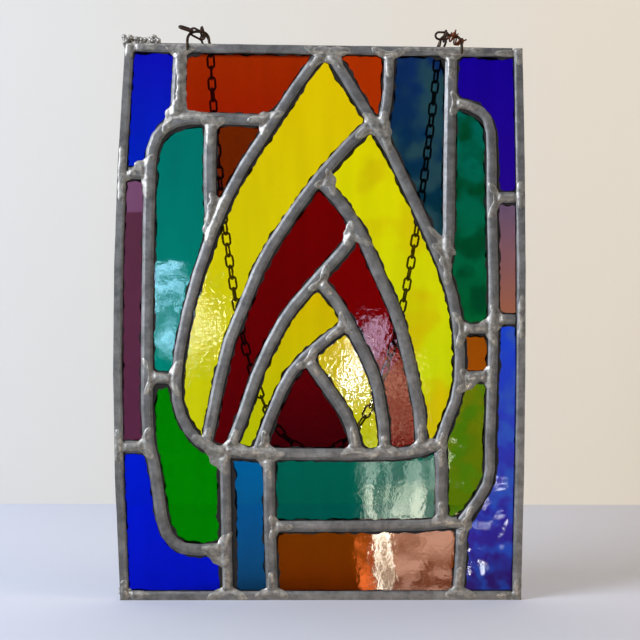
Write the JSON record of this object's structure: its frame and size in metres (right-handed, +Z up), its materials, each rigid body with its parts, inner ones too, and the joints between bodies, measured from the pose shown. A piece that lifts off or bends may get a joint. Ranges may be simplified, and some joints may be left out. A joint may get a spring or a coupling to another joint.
{
  "type": "stained glass window",
  "caption": "Leaded stained glass panel: a yellow and red flame in a rounded frame of coloured panes, with wire eyes and a hanging chain.",
  "frame": {"origin": "midway between the two hanging eyes, at the underside of their bows, in the middle of the panel's thickness", "axes": "+X to the right seen from the front, +Y from the front face to the back, +Z up"},
  "size_m": [0.2095, 0.0133, 0.2927],
  "materials": {
    "glass_cobalt": "clear coloured glass",
    "glass_orange": "clear coloured glass",
    "glass_petrol": "clear coloured glass",
    "glass_ultramarine": "clear coloured glass",
    "glass_plum": "clear coloured glass",
    "glass_teal": "clear coloured glass",
    "glass_russet": "clear coloured glass",
    "glass_yellow": "clear coloured glass",
    "glass_ruby": "clear coloured glass",
    "glass_bottle_green": "clear coloured glass",
    "glass_rose": "clear coloured glass",
    "glass_amber": "clear coloured glass",
    "glass_olive": "clear coloured glass",
    "glass_water_blue": "clear coloured glass",
    "glass_grass_green": "clear coloured glass",
    "glass_cerulean": "clear coloured glass",
    "glass_brown": "clear coloured glass",
    "lead": "oxidised lead came, satin grey",
    "eye_wire": "tinned wire, dulled",
    "chain": "dark bronzed",
    "copper_wire": "bare copper, tarnished"
  },
  "bodies": {
    "root": {"glass_cobalt_top_left": "glass_cobalt", "glass_orange_top": "glass_orange", "glass_orange_tip_right": "glass_orange", "glass_blue_teal_top": "glass_petrol", "glass_ultramarine_top_right": "glass_ultramarine", "glass_plum_left": "glass_plum", "glass_teal_left": "glass_teal", "glass_russet_left": "glass_russet", "glass_yellow_outer_left": "glass_yellow", "glass_yellow_outer_right": "glass_yellow", "glass_ruby_left": "glass_ruby", "glass_ruby_right": "glass_ruby", "glass_yellow_inner_left": "glass_yellow", "glass_yellow_inner_right": "glass_yellow", "glass_dark_red_heart": "glass_ruby", "glass_dark_green_right": "glass_bottle_green", "glass_rose_right": "glass_rose", "glass_amber_right": "glass_amber", "glass_olive_right": "glass_olive", "glass_blue_right": "glass_water_blue", "glass_green_lower_left": "glass_grass_green", "glass_blue_lower_left": "glass_cobalt", "glass_cerulean_lower": "glass_cerulean", "glass_teal_lower": "glass_teal", "glass_brown_lower": "glass_brown", "border_left": "lead", "border_right": "lead", "border_top": "lead", "border_bottom": "lead", "came_flame_left": "lead", "came_flame_right": "lead", "came_upright_left": "lead", "came_base": "lead", "came_arch_left": "lead", "came_divider_right": "lead", "came_arch_right": "lead", "came_upright_middle": "lead", "came_sill": "lead", "came_upright_right": "lead", "came_post_right": "lead", "came_divider_top_left": "lead", "came_divider_top_right": "lead", "came_divider_inner_left": "lead", "came_rib_outer_left": "lead", "came_rib_outer_right": "lead", "came_rib_inner_left": "lead", "came_rib_inner_right": "lead", "came_heart_left": "lead", "came_heart_right": "lead", "came_tie_upper_left": "lead", "came_tie_middle_left": "lead", "came_tie_lower_left": "lead", "came_tie_upper_right": "lead", "came_tie_middle_right": "lead", "came_tie_amber_top": "lead", "came_tie_amber_bottom": "lead", "eye_left": "eye_wire", "eye_right": "eye_wire", "chain": "chain", "tie_wire": "copper_wire"}
  },
  "joints": []
}
